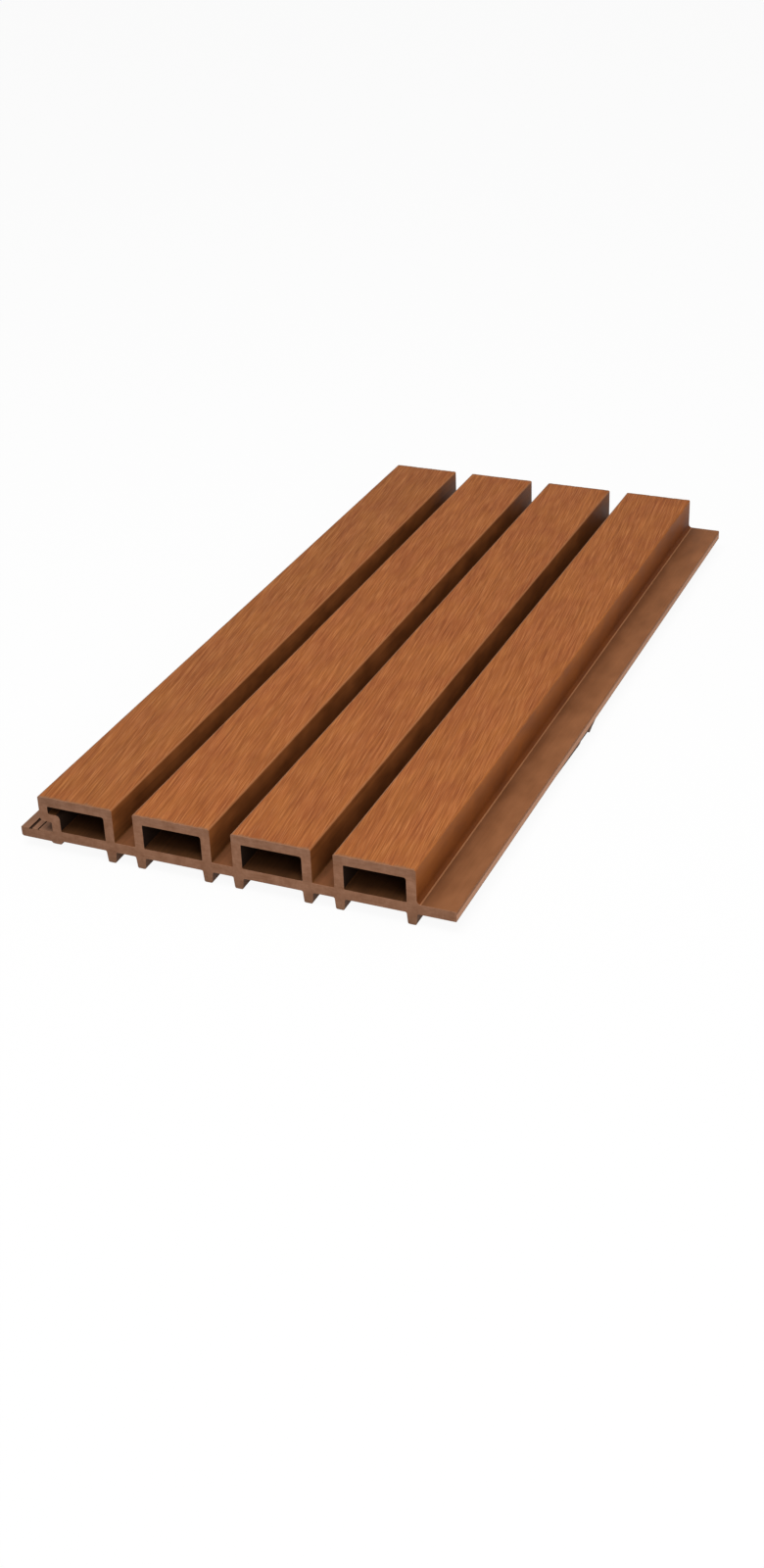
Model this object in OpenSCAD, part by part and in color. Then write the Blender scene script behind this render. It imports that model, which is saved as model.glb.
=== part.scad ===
// Fluted cladding panel, a short cut length of one extruded board.
// The section is drawn once, face up, and pulled along the length.
// x runs across from the lip to the tongue, y along the length, z up; it lies on its feet.

/* [Overall] */
// length of the cut piece, one sawn end to the other
panel_l = 435; // [100:5:2900]
// how many raised ribs sit side by side
rib_count = 4; // [2:1:6]
// spacing from one rib to the next, left face to left face
rib_pitch = 50; // [48:0.5:80]

/* [Ribs] */
// width of one rib across its face
rib_w = 39.2; // [30:0.1:44]
// height of a rib above the top of the plate
rib_h = 17.4; // [16:0.1:40]
// thickness of a rib's upright walls
side_wall_t = 4.7; // [2.5:0.1:6]
// thickness of the face wall over the hollow
top_wall_t = 4.8; // [2.5:0.1:6]
// rounding along the two upper edges of each rib
rib_edge_r = 0.8; // [0.3:0.1:2]
// small fillet where a rib's wall meets the floor of a gap
gap_fillet_r = 0.5; // [0.2:0.1:2]

/* [Plate and tongue] */
// thickness of the back plate, also of the tongue
plate_t = 5.2; // [3:0.1:8]
// how far the tongue stands out past the last rib
tongue_w = 18.6; // [10:0.1:40]
// fillet where the last rib meets the tongue
tongue_fillet_r = 2; // [0.5:0.1:3]
// rounding of the tongue's two outer edges
tongue_edge_r = 0.5; // [0.2:0.1:1.4]

/* [Lip] */
// how far the screw lip stands out past the first rib
lip_w = 11.2; // [10.5:0.1:30]
// thickness of the lip
lip_t = 5.2; // [3:0.1:6.2]
// how far the lip's underside lies below the plate's underside
lip_drop = 1; // [0.2:0.1:1.6]
// rounding of the lip's lower outer edge
lip_low_r = 1.2; // [0.4:0.1:1.8]
// rounding of the lip's upper outer edge
lip_high_r = 0.6; // [0.2:0.1:1.1]

/* [Lip grooves] */
// middle of the wide groove, measured from the lip's free edge
wide_groove_x = 5.4; // [4:0.1:6.5]
// width of the wide groove, the one that guides the screws
wide_groove_w = 1.6; // [0.5:0.1:2.5]
// depth of the wide groove
wide_groove_d = 0.7; // [0.3:0.1:2]
// middle of the thin groove, measured from the lip's free edge
thin_groove_x = 9.4; // [8.3:0.1:10]
// width of the thin groove
thin_groove_w = 0.7; // [0.3:0.1:1]
// depth of the thin groove
thin_groove_d = 0.5; // [0.3:0.1:2]

/* [Slot for the next board's tongue] */
// how far the slot runs in under the first rib
slot_depth = 6.1; // [4:0.1:9]
// play above the tongue in the slot, the slot is this much taller than the plate
slot_clear = 0.2; // [0.1:0.05:0.6]
// thickness of the shelf over the slot
shelf_t = 4.2; // [2:0.1:5]
// thickness of the upright web that closes the slot
web_t = 4.7; // [2.5:0.1:6]
// rounding of the shelf's corner inside the first hollow
shelf_r = 2; // [0.5:0.1:2.4]
// rounding of the slot's two inner corners
slot_r = 0.5; // [0.2:0.1:1]
// rounding of the edge over the mouth of the slot, which leads the tongue in
slot_mouth_r = 2; // [0.3:0.1:2.5]

/* [Hollows] */
// corner rounding of the hollows
hollow_r = 0.5; // [0.2:0.1:0.8]
// larger rounding of each hollow's upper right corner
hollow_high_r = 1.2; // [0.5:0.1:2]

/* [Feet] */
// how far the feet stand below the plate
foot_h = 5.9; // [3:0.1:12]
// width of a foot where it meets the plate
foot_root_w = 5; // [4.6:0.1:7]
// width of a foot across its tip
foot_tip_w = 4.2; // [2.6:0.1:4.5]
// rounding at the tip of a foot
foot_tip_r = 0.8; // [0.3:0.1:1.1]
// fillet where a foot meets the plate
foot_fillet_r = 0.8; // [0.3:0.1:1.4]

/* [Stub foot] */
// width of the low stub foot under the web
stub_w = 6; // [4.6:0.1:6.4]
// how far the middle of the stub foot lies outside the middle of the web
stub_shift = 0.75; // [0:0.05:1]
// how far the stub foot stands below the plate
stub_h = 1.9; // [1.8:0.1:2.9]
// rounding of the stub foot's lower edges
stub_r = 1.4; // [0.3:0.1:1.5]

/* [Hidden] */
$fn = 48;
// overall width, lip edge to tongue edge
panel_w = lip_w + (rib_count - 1)*rib_pitch + rib_w + tongue_w;
// top of a rib and roof of the hollows, both above the plate's underside
rib_top = plate_t + rib_h;
hollow_top = rib_top - top_wall_t;
// top of the lip, which is also the floor of the slot
lip_top = lip_t - lip_drop;
slot_top = lip_top + plate_t + slot_clear;
shelf_top = slot_top + shelf_t;
// length of the strips that carry a fillet into the part beside it
lap = 2;

// direction from one corner to another, length one
function way(from, to) = let(d = [to[0] - from[0], to[1] - from[1]]) d/norm(d);
// above zero where corner b sticks out, below zero where it is an inside corner
function turn(a, b, c) = cross(way(a, b), way(b, c));
// corner b cut back to the two points where its rounding starts and ends
function cut_back(a, b, c) = let(point = [b[0], b[1]])
    b[2] == 0 ? [point] : [point + b[2]*way(b, a), point + b[2]*way(b, c)];
// middle of the circle that rounds corner b
function middle(a, b, c) = [b[0], b[1]] + b[2]*(way(b, a) + way(b, c));

// closed outline with square corners listed anticlockwise, each as [x, y, radius], with true arcs
module rounded(corners) {
    n = len(corners);
    // each corner together with its two neighbours
    trios = [for (i = [0:n - 1]) [corners[(i + n - 1)%n], corners[i], corners[(i + 1)%n]]];
    difference() {
        union() {
            polygon([for (t = trios) each cut_back(t[0], t[1], t[2])]);
            for (t = trios)
                if (t[1][2] > 0 && turn(t[0], t[1], t[2]) > 0)
                    translate(middle(t[0], t[1], t[2])) circle(r = t[1][2]);
        }
        for (t = trios)
            if (t[1][2] > 0 && turn(t[0], t[1], t[2]) < 0)
                translate(middle(t[0], t[1], t[2])) circle(r = t[1][2]);
    }
}

// back plate from the first rib to the edge of the tongue, underside at zero height
module plate_section() {
    translate([lip_w, 0]) rounded([
        [0, 0, 0],
        [panel_w - lip_w, 0, tongue_edge_r],
        [panel_w - lip_w, plate_t, tongue_edge_r],
        [0, plate_t, 0]]);
}

// lip that the screws go through, it runs on under the slot as far as the stub foot
module lip_section() {
    translate([0, -lip_drop]) rounded([
        [0, 0, lip_low_r],
        [lip_w + slot_depth + web_t/2, 0, 0],
        [lip_w + slot_depth + web_t/2, lip_t, 0],
        [0, lip_t, lip_high_r]]);
}

// one rib drawn solid, with a strip below it that carries the two fillets
module rib_section(right_fillet_r) {
    translate([0, plate_t]) rounded([
        [-lap, -lap, 0],
        [rib_w + lap + right_fillet_r, -lap, 0],
        [rib_w + lap + right_fillet_r, 0, 0],
        [rib_w, 0, right_fillet_r],
        [rib_w, rib_h, rib_edge_r],
        [0, rib_h, rib_edge_r],
        [0, 0, gap_fillet_r],
        [-lap, 0, 0]]);
}

// hollow inside an ordinary rib
module hollow_section() {
    rounded([
        [side_wall_t, plate_t, hollow_r],
        [rib_w - side_wall_t, plate_t, hollow_r],
        [rib_w - side_wall_t, hollow_top, hollow_high_r],
        [side_wall_t, hollow_top, hollow_r]]);
}

// hollow inside the first rib, stepped over the shelf and the web
module stepped_hollow_section() {
    rounded([
        [slot_depth + web_t, plate_t, hollow_r],
        [rib_w - side_wall_t, plate_t, hollow_r],
        [rib_w - side_wall_t, hollow_top, hollow_high_r],
        [side_wall_t, hollow_top, hollow_r],
        [side_wall_t, shelf_top, hollow_r],
        [slot_depth + web_t, shelf_top, shelf_r]]);
}

// slot that takes the next board's tongue, open over the whole lip
module slot_section() {
    translate([0, lip_top]) rounded([
        [-2*lap, 0, 0],
        [slot_depth, 0, slot_r],
        [slot_depth, slot_top - lip_top, slot_r],
        [0, slot_top - lip_top, slot_mouth_r],
        [0, slot_top - lip_top + slot_mouth_r + lap, 0],
        [-2*lap, slot_top - lip_top + slot_mouth_r + lap, 0]]);
}

// groove cut down into the top of the lip
module groove_section(x, w, d) {
    translate([x - w/2, lip_top - d]) square([w, d + lap]);
}

// tapered foot with fillets at its root and a rounded tip, middle of the foot at zero
module foot_section() {
    difference() {
        translate([-foot_root_w/2 - foot_fillet_r, -foot_fillet_r])
            square([foot_root_w + 2*foot_fillet_r, foot_fillet_r + lap]);
        for (side = [-1, 1])
            translate([side*(foot_root_w/2 + foot_fillet_r), -foot_fillet_r]) circle(r = foot_fillet_r);
    }
    polygon([
        [-foot_root_w/2, -foot_fillet_r],
        [-foot_tip_w/2, -foot_h + foot_tip_r],
        [foot_tip_w/2, -foot_h + foot_tip_r],
        [foot_root_w/2, -foot_fillet_r]]);
    rounded([
        [-foot_tip_w/2, -foot_h, foot_tip_r],
        [foot_tip_w/2, -foot_h, foot_tip_r],
        [foot_tip_w/2, -foot_h + foot_tip_r + lap/4, 0],
        [-foot_tip_w/2, -foot_h + foot_tip_r + lap/4, 0]]);
}

// low foot under the web of the slot
module stub_section() {
    translate([lip_w + slot_depth + web_t/2 - stub_shift, 0]) rounded([
        [-stub_w/2, -stub_h, stub_r],
        [stub_w/2, -stub_h, stub_r],
        [stub_w/2, lap, 0],
        [-stub_w/2, lap, 0]]);
}

// whole section of the board, underside of the plate at zero height
module board_section() {
    difference() {
        union() {
            plate_section();
            lip_section();
            stub_section();
            for (i = [0:rib_count - 1]) translate([lip_w + i*rib_pitch, 0])
                rib_section(i == rib_count - 1 ? tongue_fillet_r : gap_fillet_r);
            for (i = [0:rib_count - 1]) translate([lip_w + i*rib_pitch + rib_w - side_wall_t/2, 0])
                foot_section();
            for (i = [1:rib_count - 1]) translate([lip_w + i*rib_pitch + side_wall_t/2, 0])
                foot_section();
        }
        translate([lip_w, 0]) stepped_hollow_section();
        for (i = [1:rib_count - 1]) translate([lip_w + i*rib_pitch, 0]) hollow_section();
        translate([lip_w, 0]) slot_section();
        groove_section(wide_groove_x, wide_groove_w, wide_groove_d);
        groove_section(thin_groove_x, thin_groove_w, thin_groove_d);
    }
}

// the board, lying on its feet with its length along y
module cladding_panel() {
    color([0.62, 0.36, 0.22])
        rotate([90, 0, 0])
            linear_extrude(height = panel_l, center = true)
                translate([-panel_w/2, foot_h]) board_section();
}

cladding_panel();
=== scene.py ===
# %% [markdown]
# # A short length of fluted cladding board
# This lesson dresses a short sawn-off length of fluted wall cladding. The real thing is one
# extruded strip of wood-plastic composite: a back plate on low feet, hollow ribs on its face,
# a tongue along one long edge and a lip with a slot along the other.
# The measured solid is loaded first and stays as it is. Everything after that is about looks.

# %% Load the measured board
import math

import bpy
import numpy as np
from mathutils import Matrix, Vector, geometry


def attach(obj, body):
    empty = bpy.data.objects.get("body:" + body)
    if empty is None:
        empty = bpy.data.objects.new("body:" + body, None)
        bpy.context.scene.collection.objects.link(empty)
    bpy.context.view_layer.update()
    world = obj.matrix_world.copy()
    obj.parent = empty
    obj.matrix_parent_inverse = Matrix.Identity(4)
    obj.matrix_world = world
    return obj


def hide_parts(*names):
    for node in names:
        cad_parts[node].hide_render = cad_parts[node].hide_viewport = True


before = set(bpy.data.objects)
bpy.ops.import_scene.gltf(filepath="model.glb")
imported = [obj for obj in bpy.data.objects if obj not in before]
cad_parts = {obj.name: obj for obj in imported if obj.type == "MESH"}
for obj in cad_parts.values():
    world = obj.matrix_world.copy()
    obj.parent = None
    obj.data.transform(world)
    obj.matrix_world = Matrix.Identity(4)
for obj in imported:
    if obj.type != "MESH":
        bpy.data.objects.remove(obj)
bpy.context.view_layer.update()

BOARD_NODE = "cladding_panel"

# %% [markdown]
# ## The camera
# The photograph looks down on the board from beyond its sawn end, from the tongue's side.
# Where it stood was worked out from the straight edges of the board, so the camera is placed
# once, here, and everything later is judged through it.

# %% Place the camera
PHOTO_SIZE = (780, 1600)
FOCAL_PX = 2086.7
SENSOR = 36.0
camera_at = Vector((0.38273, -0.89802, 0.50270))
camera_right = Vector((0.92003, 0.39014, -0.03662))
camera_up = Vector((-0.16723, 0.47543, 0.86372))
camera_back = camera_right.cross(camera_up)

camera_data = bpy.data.cameras.new("photo_camera")
camera_data.sensor_width = SENSOR
camera_data.lens = FOCAL_PX/max(PHOTO_SIZE)*SENSOR
camera = bpy.data.objects.new("photo_camera", camera_data)
bpy.context.scene.collection.objects.link(camera)
axes = Matrix((camera_right, camera_up, camera_back)).transposed().to_4x4()
camera.matrix_world = Matrix.Translation(camera_at) @ axes
bpy.context.scene.camera = camera
bpy.context.scene.view_settings.view_transform = "Standard"
print("lens in mm:", round(camera_data.lens, 2))

# %% [markdown]
# ## The section
# An extrusion is one flat shape pulled into a length, so the whole form hangs on that shape.
# It is written as corners, walking once round the outside, each with its own rounding and with
# the name of the finish that follows it. Sizes are real millimetres under plain names, so the
# outline can be read like a drawing. x starts at the lip's free edge, and heights are counted
# from the plate's underside.

# %% Sizes of the section, in millimetres
rib_count, rib_pitch, rib_w, rib_h = 4, 50.0, 39.2, 17.4
side_wall_t, top_wall_t = 4.7, 4.8
rib_edge_r, gap_fillet_r, tongue_fillet_r = 0.8, 0.5, 2.0
plate_t, tongue_w, tongue_edge_r = 5.2, 18.6, 0.5
lip_w, lip_t, lip_drop, lip_low_r, lip_high_r = 11.2, 5.2, 1.0, 1.2, 0.6
wide_groove_x, wide_groove_w, wide_groove_d = 5.4, 1.6, 0.7
thin_groove_x, thin_groove_w, thin_groove_d = 9.4, 0.7, 0.5
slot_depth, slot_clear, slot_r, slot_mouth_r = 6.1, 0.2, 0.5, 2.0
shelf_t, web_t, shelf_r = 4.2, 4.7, 2.0
hollow_r, hollow_high_r = 0.5, 1.2
foot_h, foot_root_w, foot_tip_w, foot_tip_r, foot_fillet_r = 5.9, 5.0, 4.2, 0.8, 0.8
stub_w, stub_shift, stub_h, stub_r = 6.0, 0.75, 1.9, 1.4
panel_l = 435.0

panel_w = lip_w + (rib_count - 1)*rib_pitch + rib_w + tongue_w
rib_top = plate_t + rib_h
hollow_top = rib_top - top_wall_t
lip_top = lip_t - lip_drop
slot_top = lip_top + plate_t + slot_clear
shelf_top = slot_top + shelf_t
ribs_x = [lip_w + i*rib_pitch for i in range(rib_count)]
print("width and height in mm:", round(panel_w, 2), round(foot_h + rib_top, 2))

# %% Names of the finishes, and one corner of the section
from collections import namedtuple

FINISHES = ["brushed_face", "pale_edge_and_highlight", "grey_edge", "gap_wall", "open_wall", "gap_floor",
            "tongue_top", "fillet_painted_highlight", "pale_rim", "lip_skin", "groove_bottom", "underside",
            "hollow_floor", "hollow_wall", "sawn_end", "eased_rim"]
(FACE, EDGE, GREY_EDGE, GAP_WALL, OPEN_WALL, GAP_FLOOR, TONGUE, FILLET_HIGHLIGHT, RIM, LIP, GROOVE, UNDER,
 HOLLOW_FLOOR, HOLLOW_WALL, SAWN, EASED_RIM) = range(len(FINISHES))

# a corner, its rounding, the finish of the stretch after it and of the rounding itself
Corner = namedtuple("Corner", "x z r skin arc", defaults=(0, UNDER, None))


# %% Corners of the feet and the grooves
def foot_corners(x):
    """One tapered foot, walked from its left root to its right root."""
    root, tip = foot_root_w/2, foot_tip_w/2
    return [Corner(x - root, 0, foot_fillet_r), Corner(x - root, -foot_fillet_r),
            Corner(x - tip, -foot_h + foot_tip_r), Corner(x - tip, -foot_h, foot_tip_r),
            Corner(x + tip, -foot_h, foot_tip_r), Corner(x + tip, -foot_h + foot_tip_r),
            Corner(x + root, -foot_fillet_r), Corner(x + root, 0, foot_fillet_r)]


def groove_corners(x, w, d):
    """A groove in the top of the lip, walked from right to left."""
    return [Corner(x + w/2, lip_top, 0, GROOVE), Corner(x + w/2, lip_top - d, 0, GROOVE),
            Corner(x - w/2, lip_top - d, 0, GROOVE), Corner(x - w/2, lip_top, 0, LIP)]


# %% Corners of the whole outside
# the tongue's edge is pale between these heights and carries the underside's painted shade below them; the painted
# highlight beside its fillet is this wide
RIM_LOW, RIM_HIGH = 0.6, 3.6
FILLET_HIGHLIGHT_W = 0.1
TORN_W = 3.0


def outside_corners():
    """The outside of the section, anticlockwise from the lip's lower edge."""
    web_x = lip_w + slot_depth + web_t/2
    stub_x = web_x - stub_shift
    arc_rise = math.sqrt(stub_r**2 - (lip_drop - stub_h + stub_r)**2)
    corners = [Corner(0, -lip_drop, lip_low_r),
               Corner(stub_x - stub_w/2 + stub_r - arc_rise, -lip_drop),
               Corner(stub_x - stub_w/2 + stub_r*0.55, -stub_h + stub_r*0.12),
               Corner(stub_x - stub_w/2 + stub_r, -stub_h), Corner(stub_x + stub_w/2, -stub_h, stub_r),
               Corner(stub_x + stub_w/2, 0)]
    feet_x = [x + rib_w - side_wall_t/2 for x in ribs_x] + [x + side_wall_t/2 for x in ribs_x[1:]]
    for x in sorted(feet_x):
        corners += foot_corners(x)
    last_wall = ribs_x[-1] + rib_w
    corners += [Corner(panel_w - TORN_W, 0), Corner(panel_w, 0, tongue_edge_r),
                Corner(panel_w, RIM_LOW, 0, RIM), Corner(panel_w, RIM_HIGH, 0, TONGUE),
                Corner(panel_w, plate_t, tongue_edge_r, TONGUE),
                Corner(last_wall + tongue_fillet_r + FILLET_HIGHLIGHT_W, plate_t, 0, FILLET_HIGHLIGHT),
                Corner(last_wall, plate_t, tongue_fillet_r, OPEN_WALL),
                Corner(last_wall, rib_top, rib_edge_r, FACE, OPEN_WALL)]
    for x in reversed(ribs_x[1:]):
        corners += [Corner(x, rib_top, rib_edge_r, GAP_WALL, GREY_EDGE),
                    Corner(x, plate_t, gap_fillet_r, GAP_FLOOR),
                    Corner(x - rib_pitch + rib_w, plate_t, gap_fillet_r, GAP_WALL),
                    Corner(x - rib_pitch + rib_w, rib_top, rib_edge_r, FACE, EDGE)]
    corners += [Corner(lip_w, rib_top, rib_edge_r, GAP_WALL, GREY_EDGE),
                Corner(lip_w, slot_top, slot_mouth_r, UNDER, GAP_WALL),
                Corner(lip_w + slot_depth, slot_top, slot_r, UNDER),
                Corner(lip_w + slot_depth, lip_top, slot_r, LIP)]
    corners += groove_corners(thin_groove_x, thin_groove_w, thin_groove_d)
    corners += groove_corners(wide_groove_x, wide_groove_w, wide_groove_d)
    return corners + [Corner(0, lip_top, lip_high_r, LIP)]


# %% Corners of the hollows
def hollow_corners(x):
    """One hollow, anticlockwise. The first one steps over the shelf and the web."""
    left, right = x + side_wall_t, x + rib_w - side_wall_t
    corners = [Corner(right, plate_t, hollow_r, HOLLOW_WALL),
               Corner(right, hollow_top, hollow_high_r, HOLLOW_WALL),
               Corner(left, hollow_top, hollow_r, HOLLOW_WALL)]
    if x > ribs_x[0]:
        return [Corner(left, plate_t, hollow_r, HOLLOW_FLOOR)] + corners
    web_right = lip_w + slot_depth + web_t
    return [Corner(web_right, plate_t, hollow_r, HOLLOW_FLOOR)] + corners + [
        Corner(left, shelf_top, hollow_r, HOLLOW_FLOOR),
        Corner(web_right, shelf_top, shelf_r, HOLLOW_WALL)]


print("corners outside:", len(outside_corners()))

# %% [markdown]
# ## From corners to a walk of points
# Each rounded corner becomes a short arc. The faces of the ribs carry a brushed grain that
# should stand in the mesh, not only in the colour, so points are added close together there.

# %% Round the corners and add points on the rib faces
ARC_STEP = math.radians(20)
FACE_STEP = 0.5

# a point of the walk and the finish of the stretch after it
Spot = namedtuple("Spot", "p skin")


def rounded(corners):
    """Spots of a closed outline with an arc at every corner that has a radius."""
    spots = []
    for i, c in enumerate(corners):
        corner = Vector((c.x, c.z))
        before, after = Vector(corners[i - 1][:2]), Vector(corners[(i + 1) % len(corners)][:2])
        if c.r == 0:
            spots.append(Spot(corner, c.skin))
            continue
        u, v = (before - corner).normalized(), (after - corner).normalized()
        half = u.angle(v)/2
        start, middle = corner + u*(c.r/math.tan(half)), corner + (u + v).normalized()*(c.r/math.sin(half))
        sweep = (math.pi - 2*half)*(1 if u.cross(v) < 0 else -1)
        steps = max(2, math.ceil(abs(sweep)/ARC_STEP))
        arc_skin = c.skin if c.arc is None else c.arc
        for k in range(steps + 1):
            p = middle + Matrix.Rotation(sweep*k/steps, 2) @ (start - middle)
            spots.append(Spot(p, arc_skin if k < steps else c.skin))
    return [s for i, s in enumerate(spots) if (s.p - spots[i - 1].p).length > 1e-4]


def add_face_points(spots):
    """The same outline with even points across every rib face."""
    dense = []
    for i, spot in enumerate(spots):
        after = spots[(i + 1) % len(spots)].p
        dense.append(spot)
        if spot.skin == FACE:
            count = round((after - spot.p).length/FACE_STEP)
            dense += [Spot(spot.p.lerp(after, k/count), FACE) for k in range(1, count)]
    return dense


outside = add_face_points(rounded(outside_corners()))
# the painted highlight beside the tongue climbs one step into the fillet
fillet_foot = Vector((ribs_x[-1] + rib_w + tongue_fillet_r, plate_t))
outside = [Spot(s.p, FILLET_HIGHLIGHT) if (s.p - fillet_foot).length < 0.01 else s for s in outside]
hollows = [rounded(hollow_corners(x)) for x in ribs_x]
print("points outside:", len(outside), "and in the hollows:", [len(h) for h in hollows])

# %% [markdown]
# ## The brushed relief
# After extruding, the face of such a board is embossed and wire-brushed: thousands of short
# shallow scratches run along it. Each scratch is a long thin dent, placed by a seeded random
# generator so that every run gives the same board. All the dents of one rib are added into
# a grid of depths, one value for each point of the mesh.

# %% Depth of the brushed scratches
STATION_STEP = 2.0
EASED = 0.12
station_count = round((panel_l - 2*EASED)/STATION_STEP)
stations = np.concatenate(([0.0], np.linspace(EASED, panel_l - EASED, station_count + 1), [panel_l]))
END_ROWS = [0, 1, len(stations) - 2, len(stations) - 1]
dice = np.random.default_rng(41)


def scratch_depths(xs, scratches):
    """Depth in mm at every x and station, for one rib face."""
    depth = np.zeros((len(xs), len(stations)))
    for _ in range(scratches):
        x, y = dice.uniform(xs[0], xs[-1]), dice.uniform(0, panel_l)
        half_l, half_w = dice.uniform(3.5, 11), dice.uniform(0.45, 0.9)
        lean, deep = dice.normal(-0.1, 0.02), dice.uniform(0.02, 0.07)
        near_y = np.flatnonzero(np.abs(stations - y) < 2*half_l)
        near_x = np.flatnonzero(np.abs(xs - x) < 3*half_w)
        if not len(near_x) or not len(near_y):
            continue
        along = (stations[near_y] - y)/half_l
        across = (xs[near_x][:, None] - x - lean*(stations[near_y] - y))/half_w
        depth[np.ix_(near_x, near_y)] += deep*np.exp(-across**2 - along**2)
    return np.minimum(depth, 0.16)


SCRATCHES_PER_RIB = 2600
face_depths = {}
for x in ribs_x:
    xs = np.linspace(x, x + rib_w, round(rib_w/FACE_STEP) + 1)
    face_depths[x] = (xs, scratch_depths(xs, SCRATCHES_PER_RIB))
print("deepest scratch in mm:", round(max(d.max() for _, d in face_depths.values()), 3))


# %% [markdown]
# Two small torn lumps hang under the tongue's edge, part way along. They are left as they are:
# the points of the lower edge are pulled down there, more in the middle of each lump.

# %% Torn lumps under the tongue's edge
# middle, half length and depth of each lump, in mm from the near end
TORN_LUMPS = [(188.5, 6.5, 2.7), (168.5, 5.0, 2.0)]


def lump_drops():
    """How far the tongue's lower edge hangs down at every station. The near side is blunt."""
    drop = np.zeros(len(stations))
    for middle, half, deep in TORN_LUMPS:
        t = np.clip((stations - middle)/half, -1, 1)
        rough = 1 + 0.2*np.sin(stations*2.3)
        drop = np.maximum(drop, deep*rough*np.where(t < 0, 1 - t**4, 1 - np.abs(t)**1.3))
    return drop


def rows_for(p, drop):
    """Stations where a line needs a point: everywhere on a brushed face, else where it moves."""
    if drop is None:
        return END_ROWS
    if p.y > rib_top/2:
        return range(len(stations))
    moved = np.flatnonzero(np.convolve(drop > 0, [1, 1, 1], "same"))
    return sorted({*END_ROWS, *moved.tolist()})


def drops(p):
    """Drop at every station under one point of the outline, or None for a plain line."""
    for x, (xs, depths) in face_depths.items():
        if x <= p.x <= x + rib_w and p.y > rib_top - rib_edge_r + 1e-6:
            fade = 1 - (rib_top - p.y)/rib_edge_r
            return fade*depths[int(np.abs(xs - p.x).argmin())]
    if p.x > panel_w - TORN_W + 0.1 and p.y < tongue_edge_r - 1e-6:
        return lump_drops()*(1 - p.y/tongue_edge_r)
    return None


# %% [markdown]
# ## Pulling the section into a length
# Every point of the walk becomes a line along the board. Lines on the rib faces get a point at
# every station, because the relief needs them. A plain wall needs points only near its ends.
# Where a dense line meets a plain one, one long face with many corners joins them, so the mesh
# stays closed. Both ends are filled flat, with the hollows left open, and the last quarter of
# a millimetre leans inwards, as a saw cut that was eased with sandpaper.

# %% Build the board
INSET = 0.1


def inward(spots, i):
    """Direction from the outline into the material, for an anticlockwise walk."""
    d = (spots[(i + 1) % len(spots)].p - spots[i - 1].p).normalized()
    return Vector((-d.y, d.x))


def place(x, z, y):
    """A point of the section at a distance along the board, in metres in the board's frame."""
    return ((x - panel_w/2)/1000, (y - panel_l/2)/1000, (z + foot_h)/1000)


def frayed(row, x):
    """How far the eased edge of a brushed face runs back from the saw cut, in mm."""
    wave = math.sin(x*1.9 + row) + math.sin(x*4.3 + 2*row) + 0.6*math.sin(x*9.7 + row)
    return {END_ROWS[1]: 0.14, END_ROWS[2]: -0.14}.get(row, 0)*max(0, wave)


def sweep_outline(spots, side, vertices, faces, skins):
    """Adds the long walls of one outline. side is 1 outside and -1 for a hollow."""
    lines = []
    for i, spot in enumerate(spots):
        drop = drops(spot.p) if side > 0 else None
        line = {}
        for row in rows_for(spot.p, drop):
            at_end = row in (0, len(stations) - 1)
            q = spot.p + inward(spots, i)*(INSET*side) if at_end else spot.p
            y = stations[row] + (frayed(row, q.x) if spot.skin == FACE else 0)
            line[row] = len(vertices)
            vertices.append(place(q.x, q.y - (0 if drop is None else drop[row]), y))
        lines.append(line)
    for i, line in enumerate(lines):
        after = lines[(i + 1) % len(lines)]
        steps = sorted(set(line) & set(after))
        for a, b in zip(steps, steps[1:]):
            there = [line[r] for r in sorted(line) if a <= r <= b]
            back = [after[r] for r in sorted(after, reverse=True) if a <= r <= b]
            faces.append(there + back if side < 0 else (there + back)[::-1])
            at_end = (a, b) in ((END_ROWS[0], END_ROWS[1]), (END_ROWS[2], END_ROWS[3]))
            skins.append(EASED_RIM if at_end else spots[i].skin)
    return lines


def build_board():
    """The whole board as one closed mesh."""
    vertices, faces, skins = [], [], []
    walls = [sweep_outline(outside, 1, vertices, faces, skins)]
    walls += [sweep_outline(h, -1, vertices, faces, skins) for h in hollows]
    for row in (END_ROWS[0], END_ROWS[-1]):
        rings = [[line[row] for line in lines] for lines in walls]
        flat = [[Vector((vertices[v][0], vertices[v][2], 0)) for v in ring] for ring in rings]
        ids = [v for ring in rings for v in ring]
        for a, b, c in geometry.tessellate_polygon(flat):
            faces.append([ids[a], ids[b], ids[c]])
            skins.append(SAWN)
    mesh = bpy.data.meshes.new("fluted_board")
    mesh.from_pydata(vertices, [], faces)
    mesh.polygons.foreach_set("material_index", skins)
    mesh.validate()
    return mesh


board_mesh = build_board()
board = bpy.data.objects.new("fluted_board", board_mesh)
bpy.context.scene.collection.objects.link(board)
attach(board, "root")
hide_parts(BOARD_NODE)

# %% Make the faces look outwards and smooth the roundings
import bmesh

bm = bmesh.new()
bm.from_mesh(board_mesh)
bmesh.ops.dissolve_degenerate(bm, dist=1e-7, edges=bm.edges)
bmesh.ops.recalc_face_normals(bm, faces=bm.faces)
open_edges = sum(1 for e in bm.edges if len(e.link_faces) != 2)
bm.to_mesh(board_mesh)
bm.free()
board_mesh.shade_smooth()
board_mesh.set_sharp_from_angle(angle=math.radians(32))
board_mesh.calc_loop_triangles()
print("triangles:", len(board_mesh.loop_triangles), "open edges:", open_edges)

# %% [markdown]
# ## The finishes
# The composite is the same all through, but the three kinds of surface look different: the
# brushed face is warm and streaky, the extruded skin is smoother and a little greyer, and the
# sawn end is dull and pinkish. Each gets its own material from the same few noises.

# %% Helpers for the materials
def new_material(name):
    """A material with its Principled shader and its list of nodes."""
    material = bpy.data.materials.new(name)
    material.use_nodes = True
    return material, material.node_tree.nodes, material.node_tree.links


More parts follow.
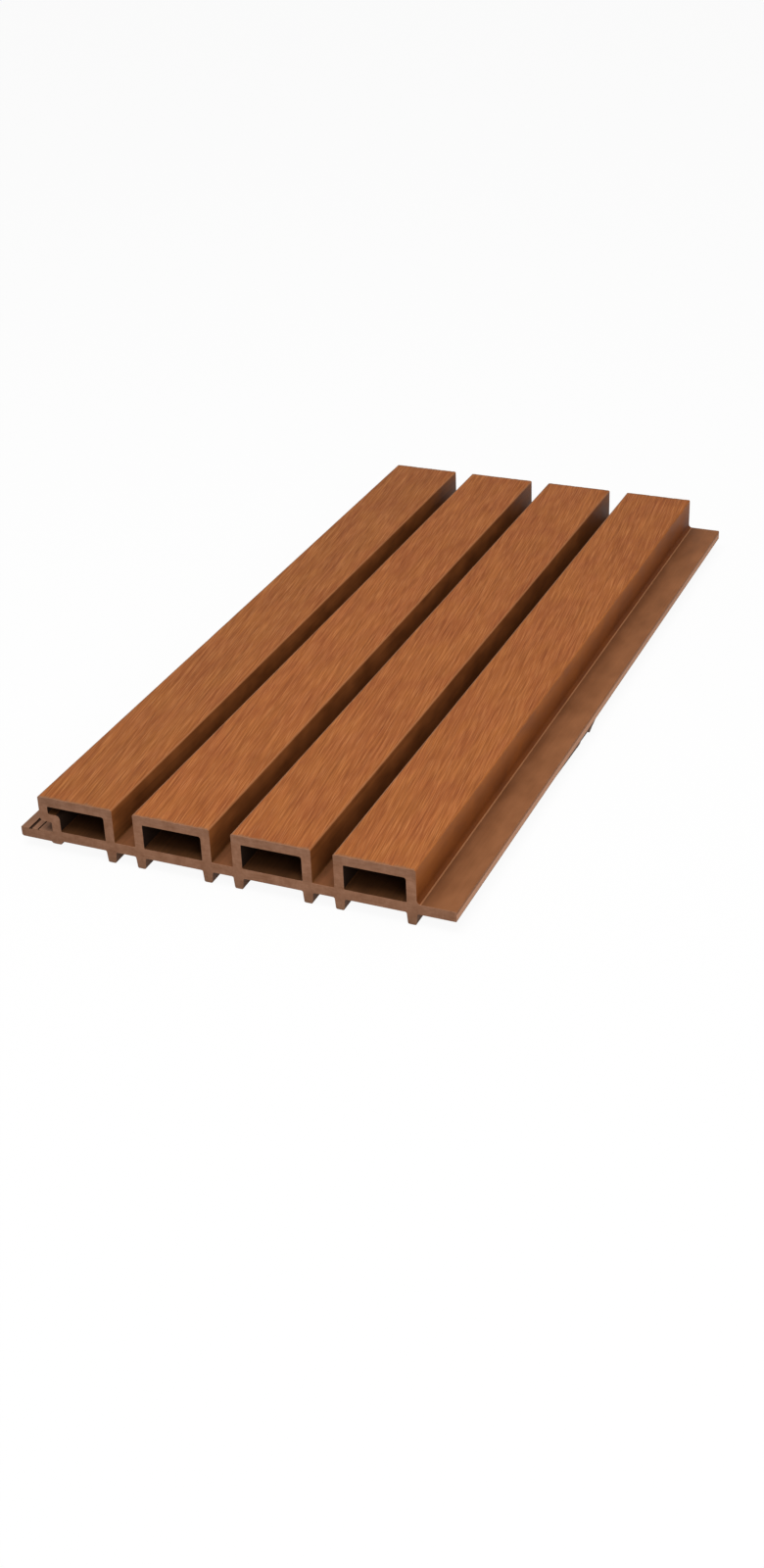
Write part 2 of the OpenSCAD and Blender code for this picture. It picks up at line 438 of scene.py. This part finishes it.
def streaks(nodes, links, across, along, detail, seed, lean=0.0, tall=None):
    """Noise stretched along the board: feature sizes in mm across, along and upwards."""
    place_in_board = nodes.new("ShaderNodeTexCoord")
    turn = nodes.new("ShaderNodeMapping")
    stretch = nodes.new("ShaderNodeMapping")
    stretch.inputs["Scale"].default_value = (1000/across, 1000/along, 1000/(tall or across))
    stretch.inputs["Location"].default_value = (seed, seed*1.7, seed*0.6)
    turn.inputs["Rotation"].default_value = (0, 0, math.radians(lean))
    noise = nodes.new("ShaderNodeTexNoise")
    noise.inputs["Scale"].default_value = 1.0
    noise.inputs["Detail"].default_value = detail
    noise.inputs["Roughness"].default_value = 0.6
    links.new(place_in_board.outputs["Object"], turn.inputs["Vector"])
    links.new(turn.outputs["Vector"], stretch.inputs["Vector"])
    links.new(stretch.outputs["Vector"], noise.inputs["Vector"])
    return noise.outputs["Fac"]


def ramp(nodes, links, value, stops):
    """Colours along a value, as (position, colour) stops."""
    node = nodes.new("ShaderNodeValToRGB")
    node.color_ramp.elements[0].position, node.color_ramp.elements[0].color = stops[0][0], (*stops[0][1], 1)
    node.color_ramp.elements[1].position, node.color_ramp.elements[1].color = stops[-1][0], (*stops[-1][1], 1)
    for position, colour in stops[1:-1]:
        node.color_ramp.elements.new(position).color = (*colour, 1)
    links.new(value, node.inputs["Fac"])
    return node.outputs["Color"]


def blend(nodes, links, way, amount, first, second):
    """Two colours mixed, with a fixed amount or a linked one."""
    node = nodes.new("ShaderNodeMix")
    node.data_type, node.blend_type = "RGBA", way
    if isinstance(amount, float):
        node.inputs["Factor"].default_value = amount
    else:
        links.new(amount, node.inputs["Factor"])
    links.new(first, node.inputs["A"])
    links.new(second, node.inputs["B"])
    return node.outputs["Result"]


def number_range(nodes, links, value, low, high, out_low, out_high):
    """A value carried from one range into another."""
    node = nodes.new("ShaderNodeMapRange")
    for name, number in (("From Min", low), ("From Max", high), ("To Min", out_low), ("To Max", out_high)):
        node.inputs[name].default_value = number
    links.new(value, node.inputs["Value"])
    return node.outputs["Result"]


def bump(nodes, links, height, distance_mm, strength):
    """A normal that follows a height."""
    node = nodes.new("ShaderNodeBump")
    node.inputs["Distance"].default_value = distance_mm/1000
    node.inputs["Strength"].default_value = strength
    links.new(height, node.inputs["Height"])
    return node.outputs["Normal"]


def linear(r, g, b):
    """A colour as seen on screen, 0 to 255, turned into the shader's own scale."""
    return tuple(((c/255 + 0.055)/1.055)**2.4 for c in (r, g, b))


# %% The brushed face
# the brush ran a few degrees off the length of the board
GRAIN_LEAN = -6.0
# how far the torn line at the saw cut wanders, in metres
WAVE = 0.004


def near_saw_cut(nodes, links):
    """How much of the face is torn and grey: only its last millimetre, in a wavy line."""
    where = nodes.new("ShaderNodeTexCoord")
    split = nodes.new("ShaderNodeSeparateXYZ")
    links.new(where.outputs["Object"], split.inputs["Vector"])
    from_middle = nodes.new("ShaderNodeMath")
    from_middle.operation = "ABSOLUTE"
    links.new(split.outputs["Y"], from_middle.inputs[0])
    wavy = nodes.new("ShaderNodeMath")
    wavy.operation = "MULTIPLY_ADD"
    links.new(streaks(nodes, links, 2.6, 2.6, 2.0, 4.4), wavy.inputs[0])
    wavy.inputs[1].default_value = WAVE
    links.new(from_middle.outputs["Value"], wavy.inputs[2])
    end = panel_l/2000 + WAVE/2
    return number_range(nodes, links, wavy.outputs["Value"], end - 0.0018, end - 0.0004, 0, 0.8)


def brushed_face():
    """Warm brown with fine lengthwise streaks over slow changes of tone."""
    material, nodes, links = new_material("brushed_face")
    shader = nodes["Principled BSDF"]
    fine = streaks(nodes, links, 0.5, 26.0, 2.0, 3.1, GRAIN_LEAN)
    hairs = streaks(nodes, links, 0.4, 18.0, 1.0, 6.6, GRAIN_LEAN - 2)
    pores = streaks(nodes, links, 0.4, 22.0, 1.0, 1.3, GRAIN_LEAN + 1)
    broad = streaks(nodes, links, 1.6, 44.0, 2.0, 8.7, GRAIN_LEAN)
    patches = streaks(nodes, links, 12.0, 26.0, 1.0, 5.3)
    grain = ramp(nodes, links, fine, [(0.34, linear(122, 61, 24)), (0.5, linear(157, 87, 38)),
                                      (0.66, linear(194, 119, 63))])
    bands = ramp(nodes, links, broad, [(0.34, linear(132, 69, 30)), (0.66, linear(180, 105, 50))])
    tone = ramp(nodes, links, patches, [(0.36, linear(149, 77, 38)), (0.64, linear(166, 100, 41))])
    colour = blend(nodes, links, "MIX", 0.34, grain, tone)
    colour = blend(nodes, links, "MIX", 0.25, colour, bands)
    light = ramp(nodes, links, hairs, [(0.0, linear(210, 140, 84)), (1.0, linear(210, 140, 84))])
    dark = ramp(nodes, links, pores, [(0.0, linear(102, 49, 20)), (1.0, linear(102, 49, 20))])
    colour = blend(nodes, links, "MIX", number_range(nodes, links, hairs, 0.53, 0.72, 0, 0.4), colour, light)
    colour = blend(nodes, links, "MIX", number_range(nodes, links, pores, 0.53, 0.74, 0, 0.34), colour, dark)
    torn = ramp(nodes, links, broad, [(0.0, linear(140, 98, 68)), (1.0, linear(140, 98, 68))])
    colour = blend(nodes, links, "MIX", near_saw_cut(nodes, links), colour, torn)
    links.new(colour, shader.inputs["Base Color"])
    links.new(number_range(nodes, links, fine, 0.3, 0.7, 0.68, 0.52), shader.inputs["Roughness"])
    links.new(bump(nodes, links, fine, 0.12, 0.6), shader.inputs["Normal"])
    shader.inputs["Specular IOR Level"].default_value = 0.2
    # painted shade: the first rib, beside the lip, is made a little darker than the others, where less light falls
    return graded(material, "X", -0.07, -0.05, [(0.0, (247, 252, 255)), (1.0, (255, 255, 255))])


# %% The extruded skins
def extruded(name, low, high, roughness, die_lines=1.0):
    """A smoother extruded brown between two tones, with faint die lines, clouds and specks."""
    material, nodes, links = new_material(name)
    shader = nodes["Principled BSDF"]
    lines = streaks(nodes, links, 0.6, 140.0, 2.0, 2.2)
    clouds = streaks(nodes, links, 9.0, 22.0, 2.0, 6.1)
    specks = streaks(nodes, links, 0.5, 0.7, 2.0, 9.4)
    mixed = nodes.new("ShaderNodeMath")
    mixed.operation = "MULTIPLY_ADD"
    links.new(lines, mixed.inputs[0])
    mixed.inputs[1].default_value = die_lines
    links.new(clouds, mixed.inputs[2])
    middle, spread = 0.5 + 0.5*die_lines, 0.2 + 0.1*die_lines
    links.new(ramp(nodes, links, number_range(nodes, links, mixed.outputs["Value"], middle - spread,
                                              middle + spread, 0, 1),
                   [(0.0, linear(*low)), (1.0, linear(*high))]), shader.inputs["Base Color"])
    links.new(number_range(nodes, links, clouds, 0.3, 0.7, roughness, roughness + 0.12),
              shader.inputs["Roughness"])
    height = nodes.new("ShaderNodeMath")
    height.operation = "ADD"
    links.new(lines, height.inputs[0])
    links.new(specks, height.inputs[1])
    links.new(bump(nodes, links, height.outputs["Value"], 0.05, 0.35), shader.inputs["Normal"])
    shader.inputs["Specular IOR Level"].default_value = 0.2
    return material


# %% Finishes that change across the board
def graded(material, axis, start, end, stops):
    """Multiplies a finish by shades along an axis, between two places given in metres."""
    nodes, links = material.node_tree.nodes, material.node_tree.links
    shader = nodes["Principled BSDF"]
    brown = shader.inputs["Base Color"].links[0].from_socket
    where = nodes.new("ShaderNodeTexCoord")
    split = nodes.new("ShaderNodeSeparateXYZ")
    links.new(where.outputs["Object"], split.inputs["Vector"])
    along = number_range(nodes, links, split.outputs[axis], start, end, 0, 1)
    shade = ramp(nodes, links, along, [(place_on, linear(*tint)) for place_on, tint in stops])
    links.new(blend(nodes, links, "MULTIPLY", 1.0, brown, shade), shader.inputs["Base Color"])
    return material


def rib_wall_painted_shade(name, low, high, foot, middle, far):
    """The brown of a rib's wall, with painted shade that darkens it from its top down to its foot, and along it
    towards the far end.
    """
    wall = graded(extruded(name, low, high, 0.55, 0.4), "Z", (plate_t + foot_h)/1000,
                  (rib_top + foot_h)/1000, [(0.0, foot), (0.5, middle), (1.0, (255, 255, 255))])
    return graded(wall, "Y", 0, panel_l/2000, [(0.0, (255, 255, 255)), (1.0, far)])


def hollow_floor():
    """The floor of a hollow, which was never brushed, in a dark brown of painted shade that deepens further away
    from the cut ends.
    """
    # painted shade deep inside the hollow
    dark = (112, 102, 92)
    return graded(extruded("hollow_floor", (71, 41, 18), (91, 54, 25), 0.7), "Y", -panel_l/2000, panel_l/2000,
                  [(0.0, (255, 255, 255)), (0.03, (238, 236, 234)), (0.09, dark), (0.91, dark),
                   (0.97, (238, 236, 234)), (1.0, (255, 255, 255))])


def tongue_top():
    """The tongue's brown, with painted shade beside the wall that fades outwards."""
    wall_x = (ribs_x[-1] + rib_w - panel_w/2)/1000
    return graded(extruded("tongue_top", (131, 81, 46), (151, 97, 60), 0.55, 0.25), "X", wall_x, panel_w/2000,
                  [(0.15, (212, 208, 204)), (0.4, (232, 230, 228)), (0.65, (248, 248, 247)),
                   (1.0, (255, 255, 255))])


# %% The sawn end
def sawn_end(name="sawn_end", lift=0):
    """Dull pinkish brown with the torn fibres of a saw cut, darker towards the feet and the lip."""
    material, nodes, links = new_material(name)
    shader = nodes["Principled BSDF"]
    level = streaks(nodes, links, 4.0, 2.0, 2.0, 1.9, 0.0, 0.8)
    upright = streaks(nodes, links, 0.8, 2.0, 2.0, 7.3, 0.0, 4.0)
    fibres = streaks(nodes, links, 1.3, 1.3, 4.0, 5.5)
    clouds = streaks(nodes, links, 6.0, 6.0, 2.0, 3.7)
    colour = None
    for grain, share in ((level, 1.0), (upright, 0.3), (fibres, 0.35), (clouds, 0.45)):
        brown = ramp(nodes, links, grain, [(0.3, linear(126 + lift, 84 + lift, 59 + lift)),
                                           (0.7, linear(169 + lift, 124 + lift, 98 + lift))])
        colour = brown if colour is None else blend(nodes, links, "MIX", share, colour, brown)
    links.new(colour, shader.inputs["Base Color"])
    rough = nodes.new("ShaderNodeMath")
    rough.operation = "ADD"
    links.new(fibres, rough.inputs[0])
    links.new(level, rough.inputs[1])
    links.new(bump(nodes, links, rough.outputs["Value"], 0.12, 0.5), shader.inputs["Normal"])
    shader.inputs["Roughness"].default_value = 0.85
    shader.inputs["Specular IOR Level"].default_value = 0.15
    graded(material, "Z", 0, (foot_h + rib_top)/1000,
           [(0.0, (224, 230, 230)), (0.25, (244, 244, 243)), (0.4, (250, 250, 248)), (0.6, (255, 255, 255)),
            (0.8, (254, 254, 254)), (0.9, (244, 246, 248))])
    return graded(material, "X", -panel_w/2000, -panel_w/2000 + 0.06, [(0.0, (242, 245, 248)),
                                                                       (1.0, (255, 255, 255))])


# %% Give every stretch its finish
finish_makers = [
    brushed_face,
    # the rounded right edges of the rib tops: a paler, greyer brown of the edge that is partly a painted highlight
    # along the rounding
    lambda: extruded("pale_edge_and_highlight", (152, 92, 50), (168, 106, 62), 0.5),
    lambda: extruded("grey_edge", (132, 90, 60), (150, 104, 74), 0.6),
    # painted shade: the walls inside the gaps get a darker brown than the open wall of the last rib, a shaded copy
    # of the same skin
    lambda: rib_wall_painted_shade("gap_wall", (114, 62, 25), (158, 92, 44), (205, 222, 232), (235, 240, 242), (236, 234, 218)),
    lambda: rib_wall_painted_shade("open_wall", (146, 83, 38), (172, 101, 47), (178, 158, 98), (219, 206, 154), (250, 246, 226)),
    lambda: extruded("gap_floor", (112, 68, 38), (130, 80, 48), 0.6),
    tongue_top,
    # a painted highlight: a paler brown along the foot of the fillet beside the tongue
    lambda: extruded("fillet_painted_highlight", (152, 100, 64), (168, 114, 76), 0.45),
    lambda: extruded("pale_rim", (186, 133, 101), (203, 150, 118), 0.6),
    lambda: extruded("lip_skin", (124, 88, 66), (144, 104, 80), 0.6),
    # painted shade: the insides of the lip's grooves are coloured dark brown for the shade in them
    lambda: extruded("groove_bottom", (48, 31, 20), (64, 42, 28), 0.8),
    # painted shade: the faces under the board, its feet and inside the slot are coloured darker than the skin, for
    # the shade beneath them
    lambda: extruded("underside", (84, 55, 36), (104, 70, 48), 0.65),
    hollow_floor,
    # painted shade: the hollows' walls and the shelf inside the first rib are coloured near black for the shade
    # inside the hollows
    lambda: extruded("hollow_wall", (32, 18, 9), (42, 24, 12), 0.7),
    sawn_end,
    lambda: sawn_end("eased_rim", 5),
]
for make in finish_makers:
    board_mesh.materials.append(make())
assert [m.name for m in board_mesh.materials] == FINISHES
print("finishes:", [m.name for m in board_mesh.materials])

# %% [markdown]
# ## The floor and the light
# The board lies on a plain pale floor. To the camera the floor is almost white and keeps only
# a faint shadow, but the board itself sees an ordinary pale floor, so its colours stay true.

# %% Lay the floor
FLOOR_SIZE = 12.0
floor_mesh = bpy.data.meshes.new("floor")
floor_mesh.from_pydata([(-FLOOR_SIZE, -FLOOR_SIZE, 0), (FLOOR_SIZE, -FLOOR_SIZE, 0),
                        (FLOOR_SIZE, FLOOR_SIZE, 0), (-FLOOR_SIZE, FLOOR_SIZE, 0)], [], [(0, 1, 2, 3)])
floor = bpy.data.objects.new("floor", floor_mesh)
floor.location.z = -0.0002
bpy.context.scene.collection.objects.link(floor)


def floor_finish():
    """Pale matt floor that the camera sees as white with a faint shadow."""
    material, nodes, links = new_material("pale_floor")
    shader = nodes["Principled BSDF"]
    shader.inputs["Roughness"].default_value = 0.9
    shader.inputs["Specular IOR Level"].default_value = 0.1
    ray = nodes.new("ShaderNodeLightPath")
    seen = nodes.new("ShaderNodeMath")
    seen.operation = "MAXIMUM"
    links.new(ray.outputs["Is Camera Ray"], seen.inputs[0])
    links.new(ray.outputs["Is Glossy Ray"], seen.inputs[1])
    seen_too = nodes.new("ShaderNodeMath")
    seen_too.operation = "MAXIMUM"
    links.new(seen.outputs["Value"], seen_too.inputs[0])
    links.new(ray.outputs["Is Transmission Ray"], seen_too.inputs[1])
    paint = ramp(nodes, links, seen_too.outputs["Value"], [(0.0, (0.7, 0.69, 0.68)), (1.0, (0.9, 0.9, 0.9))])
    links.new(paint, shader.inputs["Base Color"])
    glow = nodes.new("ShaderNodeEmission")
    glow.inputs["Color"].default_value = (1, 1, 1, 1)
    glow.inputs["Strength"].default_value = 1.0
    share = number_range(nodes, links, seen_too.outputs["Value"], 0, 1, 0, 0.93)
    both = nodes.new("ShaderNodeMixShader")
    links.new(share, both.inputs["Fac"])
    links.new(shader.outputs["BSDF"], both.inputs[1])
    links.new(glow.outputs["Emission"], both.inputs[2])
    links.new(both.outputs["Shader"], nodes["Material Output"].inputs["Surface"])
    return material


floor_mesh.materials.append(floor_finish())

# %% Light the room
world = bpy.data.worlds.new("studio")
bpy.context.scene.world = world
world.use_nodes = True
sky, sky_links = world.node_tree.nodes, world.node_tree.links
soft_light = sky["Background"]
soft_light.inputs["Color"].default_value = (1.0, 0.99, 0.98, 1)
soft_light.inputs["Strength"].default_value = 0.42
white_wall = sky.new("ShaderNodeBackground")
white_wall.inputs["Color"].default_value = (1, 1, 1, 1)
white_wall.inputs["Strength"].default_value = 1.0
which_ray = sky.new("ShaderNodeLightPath")
choose = sky.new("ShaderNodeMixShader")
sky_links.new(which_ray.outputs["Is Camera Ray"], choose.inputs["Fac"])
sky_links.new(soft_light.outputs["Background"], choose.inputs[1])
sky_links.new(white_wall.outputs["Background"], choose.inputs[2])
sky_links.new(choose.outputs["Shader"], sky["World Output"].inputs["Surface"])


def softbox(name, place_at, look_at, size, power):
    """A square soft lamp aimed at a point."""
    data = bpy.data.lights.new(name, "AREA")
    data.shape, data.size, data.energy = "SQUARE", size, power
    lamp = bpy.data.objects.new(name, data)
    lamp.location = place_at
    lamp.rotation_mode = "QUATERNION"
    lamp.rotation_quaternion = (Vector(look_at) - Vector(place_at)).to_track_quat("-Z", "Y")
    bpy.context.scene.collection.objects.link(lamp)
    return lamp


softbox("key_above", (0.0, -0.45, 1.35), (0, 0, 0), 0.9, 12.0)
softbox("low_right_front", (0.9, -0.95, 0.7), (0.05, -0.1, 0), 0.6, 4.0)

# %% [markdown]
# ## Finishing

# %% Update the scene
bpy.context.view_layer.update()
